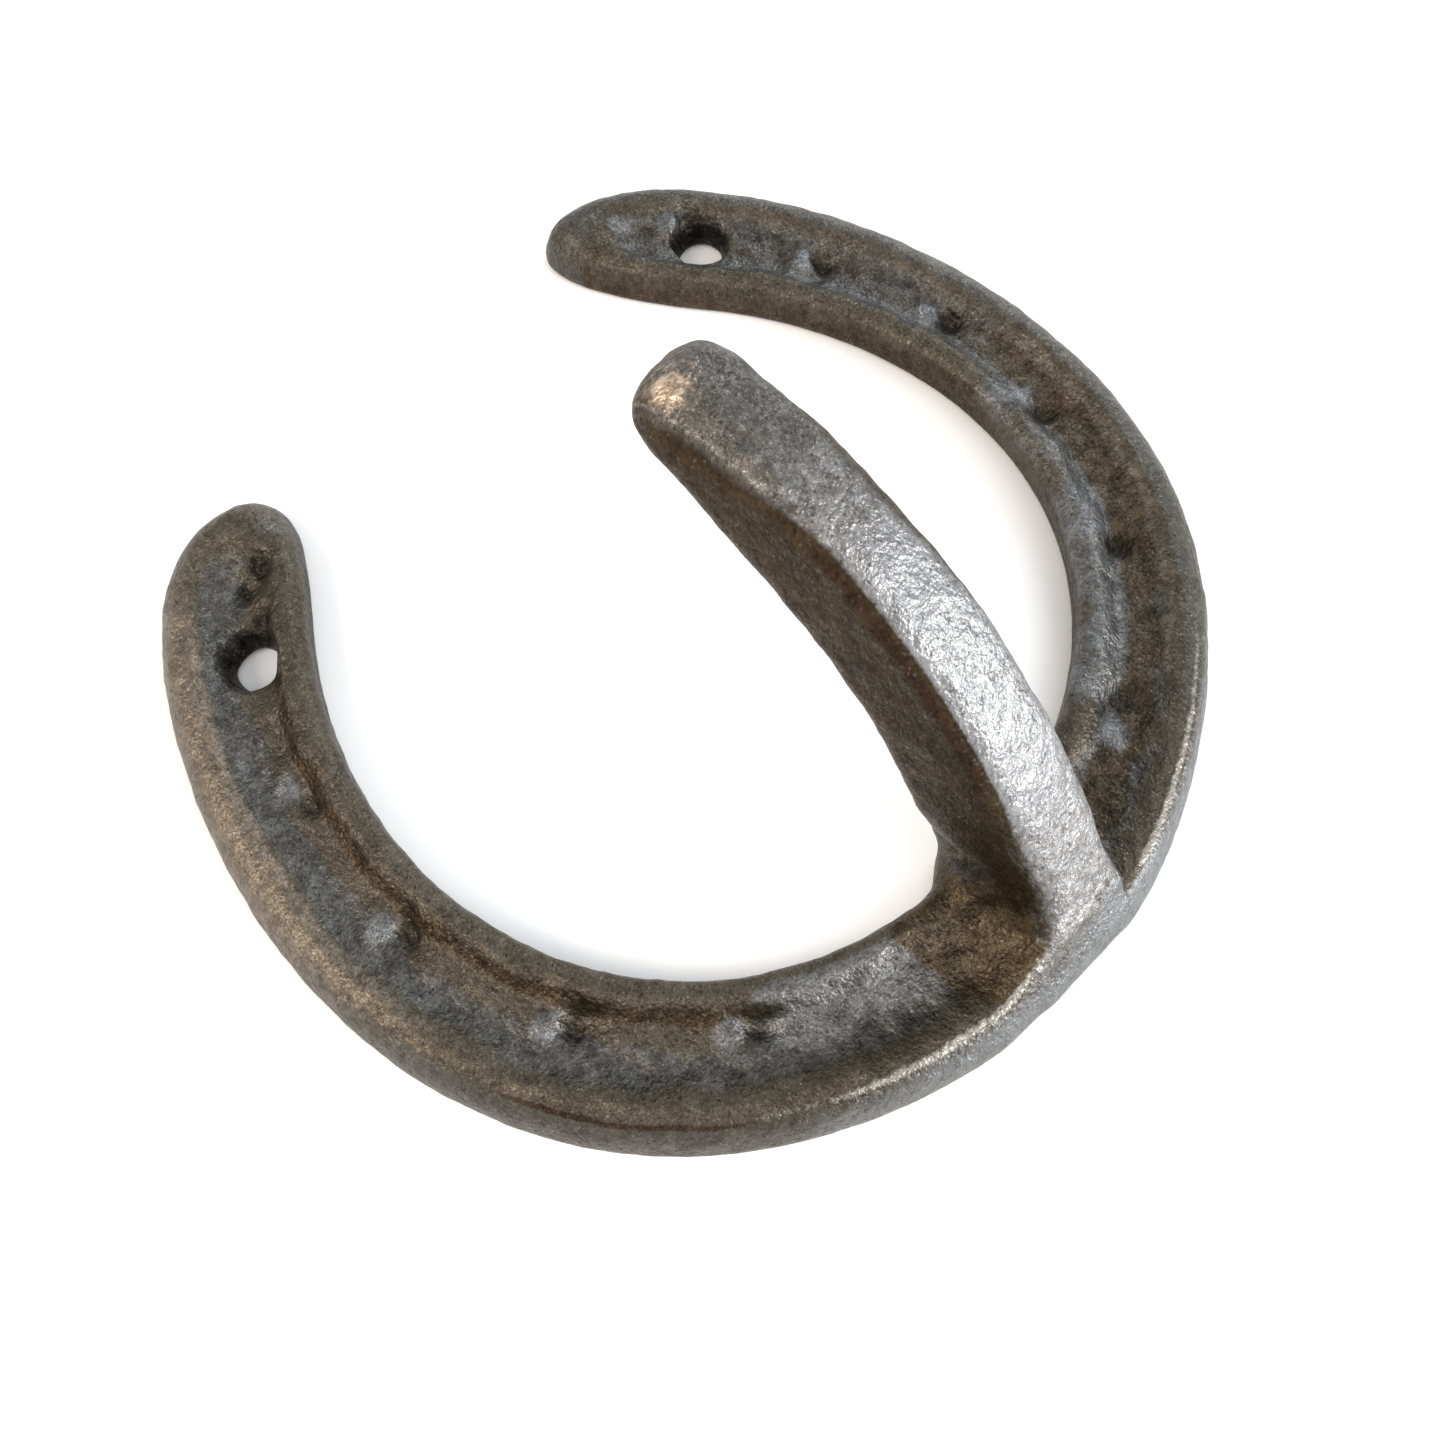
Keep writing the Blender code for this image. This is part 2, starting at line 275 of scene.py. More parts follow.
def top_relief(p, from_outer, from_inner, from_tip):
    """Height of the top, the rim's share in it, and where the lumps and the nail pits lie."""
    wander = 0.4 * noise(p, 3.5, 1) + 0.2 * noise(p, 1.6, 2)
    wall = 1 - smoothstep(*OUTER_WALL, from_outer + wander)
    wall = 1 - (1 - wall) * smoothstep(*INNER_WALL, from_inner + wander)
    wall = 1 - (1 - wall) * smoothstep(*END_WALL, from_tip + wander)
    depth, lumps, nail_pits = nail_marks(p)
    depth = depth + 0.22 * noise(p, 2.6, 3) + 0.12 * noise(p, 1.3, 4)
    for x, y in HOLES:
        from_hole = distance_from(p, x, y) + 0.3 * noise(p, 2.0, 6)
        depth = depth + POCKET_DEPTH * (1 - smoothstep(HOLE_R, POCKET_R, from_hole))
    top = FLOOR_Z - depth + (RIM_Z - FLOOR_Z + depth) * wall
    for x, y, r in PITS:
        from_pit = distance_from(p, x, y) + 0.3 * noise(p, 1.5, 7)
        top = top - PIT_DEPTH * (1 - smoothstep(r * 0.4, r * 1.5, from_pit))
    for x, y, r in BUMPS:
        from_bump = distance_from(p, x, y) + 0.3 * noise(p, 1.5, 5)
        on_bump = 1 - smoothstep(r * 0.3, r * 1.4, from_bump)
        top = top + BUMP_HEIGHT * on_bump * (1 - wall)
        lumps = np.maximum(lumps, 0.7 * (x > 0) * on_bump)
    return top, wall, lumps, nail_pits


def make_plan():
    """Map of the plan.

    inset: distance inwards from the outline, and within: the same from the outer outline only.
    side: 0 at the outer outline, 1 at the inner one. from_inner: distance to the inner one.
    top, flatness: height of the top and the cosine of its slope. wall, lumps, nail_pits: see
    top_relief.
    """
    plan = Sheet(*PLAN_AREA)
    p = plan.points
    outer_line, inner_line = outlines()
    from_outer, from_inner = distance_to_line(p, outer_line), distance_to_line(p, inner_line)
    inside = inside_polygon(p, np.concatenate((outer_line, inner_line[::-1])))
    nearest = np.minimum(from_outer, from_inner)
    inset = np.where(inside, nearest, -nearest)
    within = np.where(inside_polygon(p, outer_line), from_outer, -from_outer)
    flat_a, flat_b = (np.array((x, y + POLE_Y)) for x, y in TOE_FLAT)
    flat_dir = (flat_b - flat_a) / np.linalg.norm(flat_b - flat_a)
    from_flat = (p - flat_a) @ np.array((flat_dir[1], -flat_dir[0]))
    at_flat = p[:, 1] < POLE_Y - 30
    inset, within = (np.where(at_flat, smooth_min(f, from_flat, 0.3), f) for f in (inset, within))

    tips = outer_line[0], outer_line[-1]
    from_tip = np.min([np.linalg.norm(p - tip, axis=1) for tip in tips], axis=0)
    side = from_outer / (from_outer + from_inner + 1e-6) * smoothstep(0, 10, from_tip)
    top, wall, lumps, nail_pits = top_relief(p, from_outer, from_inner, from_tip)
    slope = np.hypot(*np.gradient(top.reshape(plan.count), SHEET_GRID)).ravel()
    plan.keep(
        inset=inset, within=within, side=side, from_inner=from_inner, top=top,
        flatness=1 / np.sqrt(1 + slope ** 2), wall=wall, lumps=lumps, nail_pits=nail_pits,
    )
    return plan


def hole_field(p):
    """Positive inside the two screw holes, which came out of the sand not quite round."""
    found = np.full(len(p), -9.0)
    for x, y in HOLES:
        dx, dy = p[:, 0] - x, p[:, 1] - y - POLE_Y
        square = (np.abs(dx) ** 3 + np.abs(dy) ** 3) ** (1 / 3)
        rim = HOLE_R + 0.12 * noise(p, 1.8, 8)
        found = np.maximum(found, rim - (square + np.hypot(dx, dy)) / 2)
    return found


def outer_draft(p):
    """Draft of the outer wall, which leans in a little more along the toe, left of the hook."""
    beside_hook = bell(p[:, 0], TOE_DRAFT_X, TOE_DRAFT_HALF)
    return OUTER_DRAFT + TOE_DRAFT * beside_hook * smoothstep(-20.0, -30.0, p[:, 1] - POLE_Y)


def shoe_fields(plan, p):
    """The shoe's side walls and its top: two fields, both negative inside the shoe."""
    shoe = plan.read(p[:, :2])
    side, z = shoe["side"], np.clip(p[:, 2], 0, None)
    lean = outer_draft(p) * (1 - side) * z ** 2 + INNER_DRAFT * side * np.minimum(z, RIM_Z) ** 2
    lean = lean + np.clip(z - RIM_Z - 2, 0, None)
    return lean - shoe["inset"], (p[:, 2] - shoe["top"]) * shoe["flatness"]


# ---------------------------------------------------------------- the hook

def make_profile():
    """Map of the hook's Y-Z profile.

    field: distance to the profile, negative inside. half: half width on the hook's outer side.
    depth: 0 on its outer side, 1 on its inner one. along: 0 at its root, 1 where its tip rounds.
    """
    profile = Sheet(*PROFILE_AREA)
    p = profile.points
    t = np.linspace(0, 1, 60)
    outer, inner = bezier(HOOK_OUTER, t), bezier(HOOK_INNER, t)
    centre, up = (outer[-1] + inner[-1]) / 2, (outer[-1] - inner[-1]) / 2
    ahead = np.array((math.cos(NOSE_TILT), math.sin(NOSE_TILT)))
    phi = np.linspace(math.pi / 2, -math.pi / 2, 30)[1:-1, None]
    nose = centre + ahead * NOSE_LENGTH * np.cos(phi) ** 0.8 + up * np.sin(phi)
    foot = np.array(HOOK_FOOT)
    loop = np.concatenate((foot[:1], outer, nose, inner[::-1], foot[1:])) + (POLE_Y, 0)
    outer, inner = outer + (POLE_Y, 0), inner + (POLE_Y, 0)
    gap = distance_to_line(p, np.concatenate((loop, loop[:1])))
    spine = (outer + inner) / 2
    along = t[np.argmin(np.stack([np.hypot(*(p - s).T) for s in spine]), axis=0)]
    beyond = np.clip((p - spine[-1]) @ ahead / NOSE_LENGTH, 0, 1)
    half = np.interp(along, *zip(*HOOK_HALF)) * np.sqrt(1 - 0.35 * beyond ** 2)
    from_outer, from_inner = distance_to_line(p, outer), distance_to_line(p, inner)
    profile.keep(
        field=np.where(inside_polygon(p, loop), -gap, gap), half=half,
        depth=from_outer / (from_outer + from_inner + 1e-6), along=along,
    )
    return profile


def hook_fields(profile, p):
    """The hook's profile and its two flanks: two fields, both negative inside the hook."""
    hook = profile.read(p[:, 1:])
    x = p[:, 0] - HOOK_X
    tuck = ROOT_TUCK * smoothstep(13.5, 4.0, p[:, 2]) - HOOK_RIGHT_HALF
    flank = np.abs(x) - hook["half"] - HOOK_SPREAD * hook["depth"] + tuck * smoothstep(0.0, 1.0, x)
    return hook["field"], flank


def edge_fields(plan, profile, p):
    """The faces seen from the side (walls, front of the hook) and those seen from above (top, flanks).

    The hook grows out of the toe: its front runs on from the outer wall without a break, and a
    wide fillet joins its left flank to the top of the shoe.
    """
    x, y, z = p[:, 0] - HOOK_X, p[:, 1] - POLE_Y, p[:, 2]
    wall, top = shoe_fields(plan, p)
    profile_field, flank = hook_fields(profile, p)
    on_left = smoothstep(2.0, -4.0, x)
    inner_corner = on_left * smoothstep(-34.0, -28.0, y) * smoothstep(16.0, 9.0, z)
    reach = FLARE_REACH * on_left * (1 - inner_corner)
    front = smooth_max(profile_field, flank - reach, ROOT_EDGE * (1 + on_left))
    lean = outer_draft(p) * np.clip(z, 0, ROOT_LEAN_Z) ** 2
    front = smooth_max(front, lean - plan.read(p[:, :2])["within"], ROOT_OUTLINE_BLEND)
    fillet = RIGHT_FILLET + (LEFT_FILLET - RIGHT_FILLET) * on_left
    fillet = fillet + (FLARE - LEFT_FILLET) * on_left * smoothstep(-27.0, -35.0, y)
    seam = ROOT_WALL_BLEND + CORNER_BLEND * inner_corner
    return smooth_min(wall, front, seam), smooth_min(top, flank, fillet)


def casting_field(plan, profile, p):
    """Signed field of the whole casting, with every edge rounded."""
    around, above = edge_fields(plan, profile, p)
    x, y, z = p[:, 0] - HOOK_X, p[:, 1] - POLE_Y, p[:, 2]
    shoulder = SHOULDER - (SHOULDER - TOE_SHOULDER) * smoothstep(-28.0, -36.0, y)
    ridge = HOOK_RIDGE + (HOOK_RIGHT_EDGE - HOOK_RIDGE) * smoothstep(-1.5, 1.5, x)
    ridge = ridge + 1.0 * smoothstep(-6.0, 1.0, y)
    edge = shoulder + (ridge - shoulder) * smoothstep(6.0, 12.0, z)
    body = smooth_max(around, above, edge)
    body = smooth_max(body, hole_field(p), HOLE_EDGE)
    return smooth_max(body, -z, BACK_EDGE)


# ---------------------------------------------------------------- field to mesh

CORNERS = np.array(list(itertools.product((0, 1), repeat=3)))


def grid_values(field):
    """The field on the mesh grid, read only in the two blocks and set well outside elsewhere."""
    low = np.array(GRID_LOW)
    count = (np.array(GRID_SIZE) / GRID).astype(int) + 1
    values = np.full(count, 5.0)
    for block_low, block_high in (SHOE_BLOCK, HOOK_BLOCK):
        a = np.maximum(np.floor((np.array(block_low) - low) / GRID).astype(int), 0)
        b = np.minimum(np.ceil((np.array(block_high) - low) / GRID).astype(int) + 1, count)
        axes = [lo + GRID * np.arange(i, j) for lo, i, j in zip(low, a, b)]
        points = np.stack(np.meshgrid(*axes, indexing="ij"), -1)
        found = [field(slab.reshape(-1, 3)) for slab in points]
        values[a[0]:b[0], a[1]:b[1], a[2]:b[2]] = np.reshape(found, points.shape[:3])
    return low, values


def surface_net(low, values):
    """One vertex in each grid cell that the surface crosses, one quad round each crossed edge."""
    inside = values < 0
    size = np.array(values.shape) - 1
    shifted = [tuple(slice(c, c + n) for c, n in zip(corner, size)) for corner in CORNERS]
    filled = sum(inside[cut].astype(np.int8) for cut in shifted)
    cells = np.argwhere((filled > 0) & (filled < 8))
    number = np.full(size, -1, np.int64)
    number[tuple(cells.T)] = np.arange(len(cells))
    at = [values[tuple((cells + c).T)] for c in CORNERS]
    total, count = np.zeros((len(cells), 3)), np.zeros(len(cells))
    for i, j in itertools.combinations(range(8), 2):
        if np.abs(CORNERS[i] - CORNERS[j]).sum() == 1:
            crossed = (at[i] < 0) != (at[j] < 0)
            share = np.where(crossed, at[i] / np.where(crossed, at[i] - at[j], 1), 0)
            total += crossed[:, None] * (CORNERS[i] + share[:, None] * (CORNERS[j] - CORNERS[i]))
            count += crossed
    points = low + GRID * (cells + total / count[:, None])
    quads = []
    for axis in range(3):
        u, v = (axis + 1) % 3, (axis + 2) % 3
        step = np.eye(3, dtype=int)[axis]
        first = inside[tuple(slice(0, n + 1 - s) for n, s in zip(size, step))]
        second = inside[tuple(slice(s, n + 1) for n, s in zip(size, step))]
        for start, order in ((first & ~second, (0, 1, 2, 3)), (~first & second, (3, 2, 1, 0))):
            edge = np.argwhere(start)
            ring = [edge.copy() for _ in range(4)]
            for cell, (du, dv) in zip(ring, ((1, 1), (0, 1), (0, 0), (1, 0))):
                cell[:, u] -= du
                cell[:, v] -= dv
            quads.append(np.stack([number[tuple(ring[k].T)] for k in order], -1))
    return points, np.concatenate(quads)


def gradient(field, p, step=0.05):
    sides = [(field(p + d) - field(p - d)) / (2 * step) for d in step * np.eye(3)]
    return np.stack(sides, -1)


def settle(field, p, rounds=4, longest=0.3):
    """Moves the points onto the surface along the field's slope, at most `longest` mm a round."""
    for _ in range(rounds):
        slope = gradient(field, p)
        steep = np.einsum("ij,ij->i", slope, slope)
        move = -field(p)[:, None] * slope / np.maximum(steep, 0.2)[:, None]
        length = np.linalg.norm(move, axis=1, keepdims=True)
        p = p + move * np.minimum(1, longest / np.maximum(length, 1e-9))
    return p


def sand_relief(p):
    """Height of the sand-cast surface over the smooth shape; it fades towards the flat back."""
    height = 0.07 * noise(p, 2.3, 11) + 0.05 * noise(p, 1.2, 12) + 0.035 * noise(p, 0.8, 13)
    return height * (0.3 + 0.7 * smoothstep(0.2, 1.2, p[:, 2]))


# ---------------------------------------------------------------- where each look shows

class Surface:
    """Where the points of the skin lie on the casting; each look is laid out by these.

    x is from the middle of the hook, z from the back, angle in degrees round the pole. side, wall,
    lumps, nail_pits and from_inner are those of the plan, depth and along those of the profile.
    crest is positive on faces seen from the side and negative on those seen from above, and
    over_shoe is positive on the hook's flanks. patch and blotch are noise that makes the borders
    uneven. The rest are shares from 0 to 1.
    """

    def __init__(self, plan, profile, p):
        shoe, hook = plan.read(p[:, :2]), profile.read(p[:, 1:])
        self.p = p
        self.x, self.z = p[:, 0] - HOOK_X, p[:, 2]
        self.angle = np.degrees(np.arctan2(p[:, 0], POLE_Y - p[:, 1]))
        self.side, self.wall, self.from_inner = shoe["side"], shoe["wall"], shoe["from_inner"]
        self.lumps, self.nail_pits = shoe["lumps"], shoe["nail_pits"]
        self.depth, self.along = hook["depth"], hook["along"]
        self.patch, self.blotch = noise(p, 5.0, 21), noise(p, 2.2, 22)
        self.left, self.right = smoothstep(8, -8, self.angle), smoothstep(-8, 8, self.angle)
        self.near_toe = smoothstep(62, 20, np.abs(self.angle + 4) + 5 * self.patch)

        shoe_wall, shoe_top = shoe_fields(plan, p)
        profile_field, hook_flank = hook_fields(profile, p)
        around, above = edge_fields(plan, profile, p)
        self.crest = around - above + 0.08 * self.blotch
        self.over_shoe = shoe_top - hook_flank
        past_edge, soft = self.front_border()
        self.vertical = smoothstep(-0.45 - 2.2 * soft, 0.3 + 0.5 * soft, self.crest - past_edge)
        level = 1 - self.vertical
        self.on_hook = self.vertical * smoothstep(-0.6, 0.8, shoe_wall - profile_field)
        self.on_hook *= smoothstep(1.5, 8.0, self.z)
        self.hook_front = self.on_hook * smoothstep(0.6, 0.45, self.depth)
        above_top = smoothstep(-1.5, 2.5, self.over_shoe)
        self.on_flank = level * above_top
        self.upper = level * (1 - above_top) * smoothstep(0.8, 1.6, self.z)
        self.outer_side = smoothstep(0.6, 0.4, self.side)
        self.outer_face = self.vertical * (1 - self.on_hook) * self.outer_side
        self.inner_face = self.vertical * (1 - self.on_hook) * smoothstep(0.4, 0.6, self.side)

    def front_border(self):
        """How far the hook's front look stays short of its right edge, and how soft its border is."""
        past_edge = 2.0 * smoothstep(0.0, 1.5, self.x) * smoothstep(0.3, 0.85, self.along)
        soft = smoothstep(0.34, 0.14, self.along) * smoothstep(0.5, -2.0, self.x)
        soft *= smoothstep(6.0, 9.0, self.z)
        soft = np.maximum(soft, smoothstep(0.8, 0.96, self.along))
        return past_edge, np.maximum(soft, 0.3 * past_edge)

    def between(self, low_end, low_full, high_full, high_end):
        """Share that is 1 between the two inner angles and 0 outside the two outer ones."""
        return smoothstep(low_end, low_full, self.angle) * smoothstep(high_end, high_full, self.angle)


def hook_looks(at):
    """Bright front, rubbed iron with a painted highlight that dulls towards both ends; brown flanks,
    greyer near the root; a painted shadow under the front's left edge; a rubbed spot on the tip with a
    painted warm highlight.
    """
    # Rubbed bright iron on the front, with a painted highlight that peaks in the middle and fades towards
    # the root and the tip
    silver_and_highlight = at.hook_front * (1 - 0.9 * smoothstep(0.45, 1.1, at.along + 0.05 * at.patch))
    silver_and_highlight *= 0.58 + 0.42 * smoothstep(0.15, 0.5, at.along)
    greying = at.on_flank * smoothstep(-3.4, -0.3, at.crest + 0.4 * at.blotch)
    greying *= smoothstep(0.34, 0.16, at.along)

    # The wide fillet on the left of its root
    flare = (1 - at.vertical) * smoothstep(-9.5, -5.5, at.over_shoe + at.blotch)
    flare *= smoothstep(5.5, 2.5, at.over_shoe) * smoothstep(3.0, -1.0, at.x)

    # Painted shadow: a dark line under the left edge of the front; and a dark line along the shoulder of
    # the left rim
    ridge_shadow_and_crease = bell(at.crest, -1.2, 0.6) * at.on_flank * smoothstep(0.25, 0.4, at.along)
    ridge_shadow_and_crease *= smoothstep(0.9, 0.75, at.along) * smoothstep(1.0, -1.0, at.x)
    crease = bell(at.crest + 0.1 * at.blotch, 0, 0.35) * at.outer_side
    ridge_shadow_and_crease = np.maximum(ridge_shadow_and_crease, crease * at.between(-84, -72, -56, -46))

    # The flank's brown also lies on the hook's inner side, and is painted shade on the right branch's
    # inner wall
    shaded_wall = 0.5 * at.right * at.inner_face * smoothstep(70, 95, at.angle)
    flank = np.maximum(np.maximum(at.on_flank, at.on_hook - at.hook_front), shaded_wall)
    # The nose mask: a painted warm highlight on the tip, inside a wider rubbed patch
    from_nose = np.linalg.norm(at.p - NOSE_RUB_AND_HIGHLIGHT, axis=1)
    worn_round = (0.2 + 0.3 * at.vertical) * bell(from_nose, 0, 3.4)
    return {
        "hook_front": at.hook_front, "silver_and_highlight": silver_and_highlight, "flank": flank, "greying": greying,
        "flare": flare, "ridge_shadow_and_crease": ridge_shadow_and_crease, "nose": np.maximum(bell(from_nose, 0, 1.6), worn_round),
    }


def rim_looks(at):
    """Walls and rims: grey round the toe, rubbed tan along the left branch with painted light on it, and
    on the right one; painted highlight lines.
    """
    # Painted highlights: bright lines along the toe's shoulder and along the left edge of the hook's
    # front
    on_shoulder = bell(at.crest, -0.5, 0.42) * at.near_toe * at.outer_side
    on_shoulder *= smoothstep(4.2, 6.2, np.abs(at.x))
    on_ridge = bell(at.crest, -0.1, 0.45) * smoothstep(1.0, -1.0, at.x)
    ridge_highlight = on_shoulder * smoothstep(9.0, 4.0, at.z) + 0.5 * on_ridge * at.on_hook

    # Tan along the left rim and outer wall, partly rubbed iron and partly painted light from the left,
    # and in a band of the right rim, which is grey outside it
    rim = at.upper * at.wall
    rubbed_and_lit_rim = rim * smoothstep(0.45, 0.3, at.side) + at.outer_face * smoothstep(0.5, 4.5, at.z)
    rubbed_and_lit_rim *= smoothstep(-74, -112, at.angle + 6 * at.patch)
    rubbed_and_lit_rim *= 1 - 0.6 * smoothstep(-134, -150, at.angle)
    tan_band = smoothstep(0.27, 0.36, at.side + 0.04 * at.blotch) * smoothstep(0.54, 0.44, at.side)
    tan_band *= at.right * at.between(20, 35, 84, 104)
    rubbed_and_lit_rim = np.maximum(rubbed_and_lit_rim, (0.42 + 0.12 * at.patch) * at.upper * tan_band)
    grey_rim = at.right * at.upper * smoothstep(0.36, 0.24, at.side + 0.04 * at.patch)
    grey_rim *= smoothstep(20, 35, at.angle)
    toe_wall = at.outer_face * at.near_toe
    return {
        "outer_face": np.maximum(at.outer_face, grey_rim),
        "toe_wall": np.maximum(toe_wall, 0.25 * grey_rim * smoothstep(60, 100, at.angle)),
        "rubbed_and_lit_rim": rubbed_and_lit_rim, "ridge_highlight": ridge_highlight,
    }


def channel_looks(at):
    """Floor of the channel with its blue-grey stretches of painted cool light and its brown stretches,
    nail marks with painted highlights and shade, and holes and pits with painted shade.
    """
    # The channel's dark floor, thinned to the tan iron along the inner side of the left branch
    pads = smoothstep(0.5, 0.64, at.side + 0.06 * at.blotch) * smoothstep(-30, -48, at.angle)
    channel = (1 - at.wall) * at.upper * (1 - 0.75 * pads)

    # Painted cool light: blue-grey beside the root of the hook on the left, and along the inner rim on
    # the right
    painted_cool_light = at.left * at.upper * at.between(-54, -46, -24, -14)
    painted_cool_light *= smoothstep(0.42, 0.6, at.side + 0.08 * at.patch) * smoothstep(0.98, 0.88, at.side)
    inner_band = at.upper * smoothstep(0.62, 0.76, at.side + 0.05 * at.blotch)
    inner_band += at.inner_face * smoothstep(2.0, 4.2, at.z)
    inner_band *= at.right * at.between(20, 32, 78, 100) * (0.66 + 0.5 * at.patch)

    # Painted shade: brown at the foot of the left inner wall and on the right branch's inner wall; brown
    # in the right channel, partly stain and partly painted warm light; darker on the outer side of the
    # left channel near the toe
    foot_shade = at.left * at.upper * bell(at.from_inner + 0.3 * at.blotch, 3.0, 0.75)
    foot_shade *= smoothstep(-43, -50, at.angle) * smoothstep(-150, -120, at.angle)
    brown = smoothstep(0.74, 0.64, at.side + 0.06 * at.patch)
    brown *= smoothstep(0.36, 0.46, at.side + 0.05 * at.blotch)
    mottle_and_shade = at.right * at.upper * brown * (1 - 0.4 * smoothstep(85, 100, at.angle))
    mottle_and_shade = np.maximum(mottle_and_shade, 0.9 * at.right * at.inner_face * smoothstep(70, 95, at.angle))
    dark_side = smoothstep(-70, -35, at.angle) * smoothstep(0.62, 0.4, at.side)
    mottle_and_shade = np.maximum(mottle_and_shade, 0.4 * at.left * channel * dark_side)

    # Painted shade in the pockets of the screw holes and in the pits of the heels
    holes = [distance_from(at.p, x, y) for x, y in HOLES]
    pocket_shade = smoothstep(POCKET_R + 0.3, HOLE_R, np.min(holes, axis=0)) * smoothstep(3.8, 2.6, at.z)
    pits = [distance_from(at.p, x, y) / r for x, y, r in PITS]
    pit_shade = 0.7 * smoothstep(1.3, 0.4, np.min(pits, axis=0)) * smoothstep(1.5, 2.5, at.z)
    return {
        "channel": channel, "painted_cool_light": np.maximum(painted_cool_light, inner_band),
        "stain_and_shade": np.maximum(foot_shade, 0.8 * mottle_and_shade), "pocket_shade": np.maximum(pocket_shade, pit_shade),
        # Painted highlight on the lumps of the nail marks, and painted shade in their pits
        "nail_lit": at.lumps * at.upper,
        "nail_pit_shade": at.nail_pits * at.upper * (1 - 0.45 * at.left),
    }


# ---------------------------------------------------------------- the skin

def make_skin(material):
    plan, profile = make_plan(), make_profile()

    def field(p):
        return casting_field(plan, profile, p)

    points, quads = surface_net(*grid_values(field))
    points = settle(field, points)
    normal = gradient(field, points)
    normal /= np.linalg.norm(normal, axis=1, keepdims=True)
    points = points + normal * sand_relief(points)[:, None]

    mesh = bpy.data.meshes.new("horseshoe_casting")
    mesh.from_pydata((points * MM).tolist(), [], quads.tolist())
    mesh.shade_smooth()
    at = Surface(plan, profile, points)
    for looks in (hook_looks(at), rim_looks(at), channel_looks(at)):
        for name, values in looks.items():
            attribute = mesh.attributes.new(name, "FLOAT", "POINT")
            attribute.data.foreach_set("value", np.asarray(values, np.float32))
    skin = bpy.data.objects.new("horseshoe_casting", mesh)
    bpy.context.scene.collection.objects.link(skin)
    mesh.materials.append(material)
    print("skin:", len(points), "vertices", len(quads), "quads")
    return skin


# ---------------------------------------------------------------- material

class Nodes:
    """Short calls for a material's nodes; each gives back the output socket.

    Every texture is drawn out upwards, since the scale is larger across the shoe than up the hook.
    """

    def __init__(self, material):
        self.tree = material.node_tree
        drawn_up = self.make("ShaderNodeMapping", vector_type="POINT")
        drawn_up.inputs["Scale"].default_value = (1.2, 1.2, 0.75)
        self.feed(drawn_up.inputs["Vector"], self.make("ShaderNodeTexCoord").outputs["Object"])
        self.place = drawn_up.outputs["Vector"]

    def make(self, kind, **settings):
        node = self.tree.nodes.new(kind)
        for name, value in settings.items():
            setattr(node, name, value)
        return node

    def feed(self, socket, value):
        if isinstance(value, bpy.types.NodeSocket):
            self.tree.links.new(value, socket)
        else:
            socket.default_value = value

    def mask(self, name):
        return self.make("ShaderNodeAttribute", attribute_name=name).outputs["Fac"]

    def math(self, operation, a, b):
        node = self.make("ShaderNodeMath", operation=operation)
        self.feed(node.inputs[0], a)
        self.feed(node.inputs[1], b)
        return node.outputs[0]

    def noise(self, size, detail, rough, seed=0.0):
        """Noise in lumps of about `size` mm, mostly between 0.3 and 0.7."""
        node = self.make("ShaderNodeTexNoise", noise_dimensions="4D")
        self.feed(node.inputs["Vector"], self.place)
        self.feed(node.inputs["Scale"], 1 / (size * MM))
        self.feed(node.inputs["Detail"], detail)
        self.feed(node.inputs["Roughness"], rough)
        self.feed(node.inputs["W"], seed)
        return node.outputs["Fac"]

    def grains(self, size):
        """A random value for each grain of sand, the grains about `size` mm across."""
        node = self.make("ShaderNodeTexVoronoi", feature="F1")
        self.feed(node.inputs["Vector"], self.place)
        self.feed(node.inputs["Scale"], 1 / (size * MM))
        split = self.make("ShaderNodeSeparateColor")
        self.feed(split.inputs[0], node.outputs["Color"])
        return split.outputs["Red"]

    def step(self, low, high, value, to_low=0.0, to_high=1.0):
        node = self.make("ShaderNodeMapRange", interpolation_type="SMOOTHSTEP")
        for socket, number in zip(node.inputs[1:5], (low, high, to_low, to_high)):
            self.feed(socket, number)
        self.feed(node.inputs["Value"], value)
        return node.outputs["Result"]

    def mix(self, share, a, b, blend="MIX"):
        node = self.make("ShaderNodeMix", data_type="RGBA", blend_type=blend)
        self.feed(node.inputs["Factor"], share)
        self.feed(node.inputs["A"], a)
        self.feed(node.inputs["B"], b)
        return node.outputs["Result"]


RIM_TAN = ((0.050, 0.041, 0.030, 1), (0.094, 0.080, 0.060, 1))
